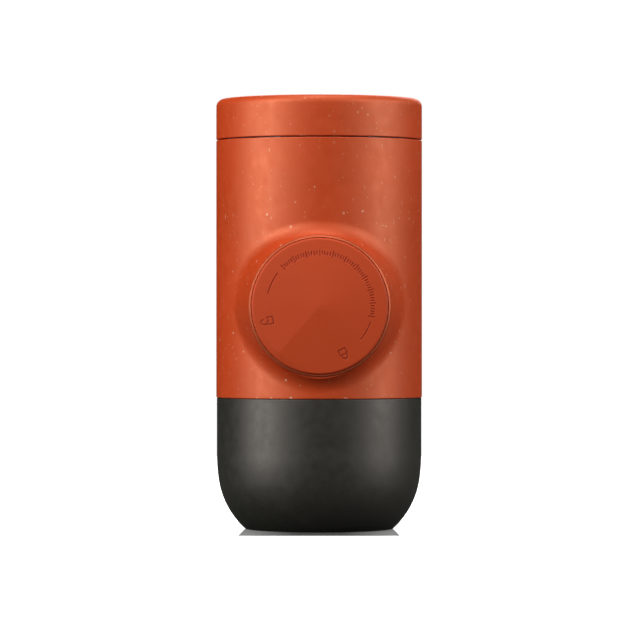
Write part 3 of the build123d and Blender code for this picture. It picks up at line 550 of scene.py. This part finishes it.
lid = turned("lid", rounded(
    (0, lid_high[2]), (lid_radius, lid_high[2], lid_edge), (lid_radius, lid_low[2], 0.25),
    (lid_radius - lid_wall, lid_low[2], 0.2), (lid_radius - lid_wall, lid_ceiling, 0.5),
    (rib_radius, lid_ceiling, 0.3), (rib_radius, cap_top), (rib_radius - rib_wall, cap_top),
    (rib_radius - rib_wall, lid_ceiling, 0.3), (0, lid_ceiling)), columns=360)
place(lid, "lid", "shell_plastic", shell_plastic, "lid_cover")


# ---------------------------------------------------------------- coffee cup
# Dark warm grey moulded cup with a satin skin, a flat foot and a softly rolled lip. It pushes over the brew
# head's spigot. Below its straight wall the side turns in on two tangent arcs.
cup_high = box_of("espresso_cup")[1]
cup_radius = cup_high[0]
cup_height = cup_high[2]
cup_wall = 2.0
cup_floor = 3.0
shoulder_height = 25.0
shoulder_drop = 8.5
shoulder_arc = 55.0
base_arc = 27.5
cup_lip_depth = 8
cup_grey = (0.0035, 0.0055, 0.0008, 1)


def cup_side(inset, floor):
    """The side in section from the floor up: an arc of the base radius, then one of the shoulder radius whose
    centre is level with the shoulder. Both centres and the joint lie on one line."""
    joint = np.arcsin(shoulder_drop / shoulder_arc)
    upper_x = cup_radius - shoulder_arc
    lower_x = upper_x + (shoulder_arc - base_arc) * np.cos(joint)
    lower_z = shoulder_height - (shoulder_arc - base_arc) * np.sin(joint)
    low = np.arcsin((lower_z - floor) / (base_arc - inset))
    below = np.linspace(low, joint, 24, endpoint=False)
    above = np.linspace(joint, 0, 10)
    lower = np.stack([lower_x + (base_arc - inset) * np.cos(below),
                      lower_z - (base_arc - inset) * np.sin(below)], -1)
    upper = np.stack([upper_x + (shoulder_arc - inset) * np.cos(above),
                      shoulder_height - (shoulder_arc - inset) * np.sin(above)], -1)
    return np.concatenate([lower, upper])


outer_side, inner_side = cup_side(0, 0), cup_side(cup_wall, cup_floor)
cup_plastic = moulded("satin_grey", cup_grey, 0.5, mottle=0.05, ior=2.1, sheen=(1, 0.93, 0.86, 1))
cup = turned("cup", rounded(
    (0, 0), (*outer_side[0], 0.5), *outer_side[1:], (cup_radius, cup_height - cup_lip_depth),
    (cup_radius, cup_height, 0.25), (cup_radius - cup_wall, cup_height, 0.25),
    (cup_radius - cup_wall, cup_height - cup_lip_depth), *inner_side[:0:-1], (*inner_side[0], 0.8),
    (0, cup_floor)), columns=360)
place(cup, "cup", "cup_plastic", cup_plastic, "espresso_cup")


# ---------------------------------------------------------------- knob guide
# Thin drawn sleeve of bronze-tinted metal. Its rolled lip frames the knob and stops the knob's lugs.
lip_radius = 22.84
guide_radius = (guide_high[2] - guide_low[2]) / 2
guide_wall = 0.55
guide_front, guide_back = -guide_low[1], -guide_high[1]
guide_lip_depth = 1.5
guide_lip_fall = 0.8
guide_floor = 1.0
barrel_radius = 9.4
bronze = (0.76, 0.155, 0.06, 1)


def spun_metal(name, colour, roughness, bare=1.0):
    """Metal with a fine turned grain: noise a little under a millimetre wide spreads its gloss and roughens it.
    Bare is the share that shines as metal; a tinted coat hides the rest."""
    fineness, depth, uneven = 60.0, 0.004, 0.06
    material = bpy.data.materials.new(name)
    material.use_nodes = True
    tree = material.node_tree
    shader = tree.nodes["Principled BSDF"]
    shader.inputs["Base Color"].default_value = colour
    shader.inputs["Metallic"].default_value = bare
    where = add(tree, "ShaderNodeTexCoord").outputs["Object"]
    wear = add(tree, "ShaderNodeTexNoise", {"Vector": where, "Scale": 20.0 * fineness, "Detail": 3.0})
    gloss = add(tree, "ShaderNodeMapRange", {"Value": wear.outputs["Fac"], "From Min": 0.3, "From Max": 0.7,
                                             "To Min": roughness - uneven, "To Max": roughness + uneven})
    tree.links.new(gloss.outputs[0], shader.inputs["Roughness"])
    bump = add(tree, "ShaderNodeBump", {"Height": wear.outputs["Fac"], "Distance": depth * mm, "Strength": 1.0})
    tree.links.new(bump.outputs[0], shader.inputs["Normal"])
    return material


guide_metal = spun_metal("bronze", bronze, 0.5, bare=0.55)
guide = turned("guide", rounded(
    (barrel_radius, guide_back), (guide_radius, guide_back, 0.3),
    (guide_radius, guide_front - guide_lip_fall, 0.3), (lip_radius, guide_front, 0.1),
    (lip_radius, guide_front - guide_lip_depth, 0.1),
    (guide_radius - guide_wall, guide_front - guide_lip_depth),
    (guide_radius - guide_wall, guide_back + guide_floor), (barrel_radius, guide_back + guide_floor)),
    loop=True, columns=360, axis=on_pump)
place(guide, "body", "guide_metal", guide_metal, "knob_guide")


# ---------------------------------------------------------------- knob
# Round push-and-turn knob moulded in plain matt orange-red plastic. Its face is a shallow cone with one ridge,
# and a scale, two lines and two padlocks are engraved near the edge. Three lugs at the skirt's end stop it.
knob_low, knob_high = box_of("knob_cap")
knob_radius = 22.72
knob_crown = 1.9
knob_face = -knob_low[1] - knob_crown
knob_end = -knob_high[1]
knob_edge = 0.65
knob_edge_drop = 0.75
knob_edge_form = 1.6
knob_wall = 1.7
ridge_turn = np.radians(221)
ridge_spread = np.radians(40)
knob_spokes = 1080
lug_radius = 22.95
lug_length = 1.2
lug_width = 8.0
lug_chamfer = 0.2
facet_fade = 1.6
mark_radius = 17.6
mark_width = 0.40
mark_softness = 0.16
mark_depth = 0.20
mark_arcs = [(-76, -52), (108, 129)]
tick_pitch = np.radians(2.9)
tick_half, long_tick_half = 0.5, 0.95
scale_right, scale_left = (0, 101.5), (-43.5, -2.9)
locked_angle, open_angle = 180 - 26.7, 180 + 73.6
padlock_size = 1.35
padlock_half_width, padlock_half_height = 0.95, 0.65
padlock_middle, padlock_top = -0.45, 0.2
shackle_radius, shackle_height, shackle_lift = 0.6, 0.75, 0.35
knob_orange = (0.74, 0.077, 0.010, 1)
# Painted shade in the engraved marks: the deep orange that darkens their grooves, and how far it does so.
groove_shade_orange = (0.30, 0.016, 0.002, 1)
groove_shade_share = 0.5


def knob_marks(radius, angle):
    """How deep the engraving is, from 0 to 1: where d is the distance to the nearest line of a mark, it is
    1 - smoothstep((d - half width) / softness + 1/2). The marks are two arcs, two padlocks in outline and a
    scale in two stretches, whose every fifth tick is long."""
    def near_arc(start, end):
        """Distance to an arc at mark_radius between two angles in degrees."""
        middle, half = np.radians((start + end) / 2), np.radians((end - start) / 2)
        swing = (angle - middle + np.pi) % (2 * np.pi) - np.pi
        past = np.maximum(np.abs(swing) - half, 0) * mark_radius
        return np.hypot(past, radius - mark_radius)

    def near_padlock(centre, opened):
        """Distance to a padlock's outline, in which u runs round the knob and v outwards: a box, and a half
        circle on two legs that end at its top. The open one's half circle is lifted and has one leg."""
        swing = (angle - np.radians(centre) + np.pi) % (2 * np.pi) - np.pi
        u, v = swing * mark_radius / padlock_size, (radius - mark_radius) / padlock_size
        body = np.abs(np.maximum(np.abs(u) - padlock_half_width,
                                 np.abs(v - padlock_middle) - padlock_half_height))
        bow = shackle_height + (shackle_lift if opened else 0.0)
        legs = np.where(v > bow, np.abs(np.hypot(u, v - bow) - shackle_radius),
                        np.hypot(np.abs(u) - shackle_radius, np.maximum(padlock_top - v, 0)))
        if opened:
            legs = np.where((u > 0) & (v < bow), np.hypot(u - shackle_radius, bow - v), legs)
        return np.minimum(body, legs) * padlock_size

    def near_scale(angle, start, end):
        """Distance to the nearest tick between two angles in degrees."""
        number = np.clip(np.round((angle - np.radians(start)) / tick_pitch), 0,
                         np.floor(np.radians(end - start) / tick_pitch))
        aside = (angle - np.radians(start) - number * tick_pitch) * radius
        half = np.where(number % 5 == 0, long_tick_half, tick_half)
        return np.hypot(aside, np.maximum(np.abs(radius - mark_radius) - half, 0))

    nearest = [near_arc(*ends) for ends in mark_arcs]
    nearest += [near_padlock(locked_angle, False), near_padlock(open_angle, True)]
    nearest += [near_scale(angle, *scale_right), near_scale(angle - 2 * np.pi, *scale_left)]
    distance = np.minimum.reduce(nearest)
    edge = np.clip((distance - mark_width / 2 + mark_softness / 2) / mark_softness, 0, 1)
    return 1 - edge * edge * (3 - 2 * edge)


def knob_points():
    """The knob as rings about the pump's axis: from the face's middle out over the rolled edge, down the skirt
    to the lugs, and back inside. The face rises crown (1 - f r / R): f is 1 on the cone, and cos(angle from the
    touching line) on the two flat facets that meet in the ridge. The engraving is taken off."""
    angle = np.linspace(0, 2 * np.pi, knob_spokes, endpoint=False)[None]
    flat = knob_radius - knob_edge
    face_radius = np.concatenate([
        np.linspace(0, 15.4, 12), np.linspace(15.7, 19.6, 40), np.linspace(20, flat, 5)])[:, None]
    off_ridge = np.abs((angle - ridge_turn + np.pi) % (2 * np.pi) - np.pi)
    facet = np.cos(np.maximum(ridge_spread - off_ridge, 0))
    edge_fade = np.clip((flat - face_radius) / facet_fade, 0, 1)
    facet = 1 - (1 - facet) * edge_fade * edge_fade * (3 - 2 * edge_fade)
    cone = knob_face + knob_crown * (1 - facet * face_radius / flat)
    engraved = knob_marks(face_radius, angle)
    face = on_pump(face_radius, cone - mark_depth * engraved, angle)
    roll = np.linspace(0, np.pi / 2, 8)[1:, None]
    fullness = 2 / knob_edge_form
    edge = on_pump(flat + knob_edge * np.sin(roll) ** fullness,
                   knob_face - knob_edge_drop * (1 - np.maximum(np.cos(roll), 0) ** fullness), angle)
    third = np.radians(120)
    swing = (angle + third / 2) % third - third / 2
    lug = np.clip((lug_width / 2 - np.abs(swing) * knob_radius) / 0.3 + 0.5, 0, 1)
    side_radius = np.array([knob_radius, knob_radius, knob_radius, knob_radius, knob_radius,
                            knob_radius - lug_chamfer, knob_radius - knob_wall,
                            knob_radius - knob_wall])[:, None]
    proud = np.array([0, 0, 0, 1, 1, 0.9, 0, 0])[:, None] * (lug_radius - knob_radius)
    side_reach = np.array([knob_face - knob_edge_drop - 0.2, knob_end + lug_length + 0.2, knob_end + lug_length,
                           knob_end + lug_length - 0.02, knob_end + lug_chamfer, knob_end, knob_end,
                           knob_face - knob_wall])[:, None]
    skirt = on_pump(side_radius + proud * lug, side_reach, angle)
    inside = on_pump(np.zeros((1, 1)), knob_face - knob_wall, angle)
    points = np.concatenate([face, edge, skirt, inside])
    marks = np.concatenate([engraved, np.zeros((len(points) - len(engraved), knob_spokes))])
    return points, marks


def knob_finish():
    """Matt plain orange-red plastic, with painted shade that darkens it where the attribute says that it is
    engraved.
    """
    material = moulded("matt_orange", knob_orange, 0.6, mottle=0.03, grain=0.35, depth=0.004)
    tree = material.node_tree
    shader = tree.nodes["Principled BSDF"]
    engraved = add(tree, "ShaderNodeAttribute", attribute_name="engraved").outputs["Fac"]
    ground = shader.inputs["Base Color"].links[0].from_socket
    # Painted shade: the engraved lines are darkened by this share towards a deep orange.
    shade = add(tree, "ShaderNodeMath", {0: engraved, 1: groove_shade_share}, operation="MULTIPLY").outputs[0]
    tree.links.new(mix_colours(tree, shade, ground, groove_shade_orange), shader.inputs["Base Color"])
    return material


knob_grid, knob_engraved = knob_points()
knob = surface("knob", knob_grid, values={"engraved": knob_engraved})
place(knob, "knob", "knob_plastic", knob_finish(), "knob_cap")


# ---------------------------------------------------------------- threads
# Screw threads moulded on the brew head's boss, where the outlet head screws on, and on the tank's neck, where
# the lid's cap does. Each is in the plastic of the wall that it stands on.
charcoal = (0.030, 0.030, 0.032, 1)
screw_pitch = 3.0
brew_boss_radius = 24.5
brew_thread_low = 38.2
brew_thread_turns = 2.2
brew_thread_ridge = 0.24
neck_radius = 31.4
neck_top = box_of("water_tank")[1][2]
neck_thread_depth = 5.6
neck_thread_turns = 1.5
neck_thread_ridge = 0.4


def thread(name, radius, low, turns, ridge):
    """A raised helix: after t turns its middle stands at low + screw_pitch t. Its section is a hump, flat on
    top, that rises ridge above the radius and is rooted under it. It fades out over a tenth of a turn at its
    ends."""
    t = np.linspace(0, turns, int(turns * 180) + 1)[None]
    side = np.array([-0.30, -0.16, -0.08, 0.08, 0.16, 0.30, 0.0])[:, None] * screw_pitch
    rise = np.array([-0.15, 0.35, 1.0, 1.0, 0.35, -0.15, -0.3])[:, None] * ridge
    fade = np.clip(np.minimum(t, turns - t) / 0.1, 0, 1)
    fade = fade * fade * (3 - 2 * fade)
    points = on_body(radius + rise * fade - 0.02, low + screw_pitch * t + side * fade, 2 * np.pi * t)
    points[..., 1] *= -1
    return surface(name, points, loop_rows=True, loop_columns=False, crease=50)


dark_plastic = moulded("charcoal_plastic", charcoal, 0.48, mottle=0.04)
brew_thread = thread("brew_thread", brew_boss_radius, brew_thread_low, brew_thread_turns, brew_thread_ridge)
place(brew_thread, "body", "dark_plastic", dark_plastic)


def clear_plastic():
    """Clear smoke-tinted plastic with a faint ripple from its mould."""
    material = bpy.data.materials.new("smoky_clear")
    material.use_nodes = True
    tree = material.node_tree
    shader = tree.nodes["Principled BSDF"]
    shader.inputs["Base Color"].default_value = (0.72, 0.74, 0.74, 1)
    shader.inputs["Transmission Weight"].default_value = 0.9
    shader.inputs["IOR"].default_value = 1.5
    where = add(tree, "ShaderNodeTexCoord").outputs["Object"]
    ripple = add(tree, "ShaderNodeTexNoise", {"Vector": where, "Scale": 250.0, "Detail": 2.0})
    gloss = add(tree, "ShaderNodeMapRange", {"Value": ripple.outputs["Fac"], "To Min": 0.12, "To Max": 0.22})
    tree.links.new(gloss.outputs[0], shader.inputs["Roughness"])
    bump = add(tree, "ShaderNodeBump", {"Height": ripple.outputs["Fac"], "Distance": 0.01 * mm,
                                        "Strength": 1.0})
    tree.links.new(bump.outputs[0], shader.inputs["Normal"])
    return material


tank_plastic = clear_plastic()
tank_thread = thread("tank_thread", neck_radius, neck_top - neck_thread_depth, neck_thread_turns,
                     neck_thread_ridge)
place(tank_thread, "body", "clear_plastic", tank_plastic)


# ---------------------------------------------------------------- pieces inside
# The pieces that the shell, the lid and the cup hide keep their solids' own form and take their finish here:
# charcoal mouldings, turned and pressed stainless steel, soft grey silicone and the clear tank.
def silicone_finish():
    """Soft grey silicone: matt, with a dusty sheen."""
    material = moulded("soft_silicone", (0.12, 0.12, 0.125, 1), 0.6, mottle=0.05, grain=0.3, depth=0.003)
    material.node_tree.nodes["Principled BSDF"].inputs["Sheen Weight"].default_value = 0.2
    return material


finish_of = {
    "dark_plastic": dark_plastic,
    "clear_plastic": tank_plastic,
    "steel": spun_metal("brushed_steel", (0.62, 0.62, 0.62, 1), 0.28),
    "silicone": silicone_finish(),
}
for row in frame["record"]["subparts"]:
    node = frame["nodes"][row["node"]]
    if not node.hide_render:
        node.data.materials.clear()
        node.data.materials.append(finish_of[row["material_slot"]])
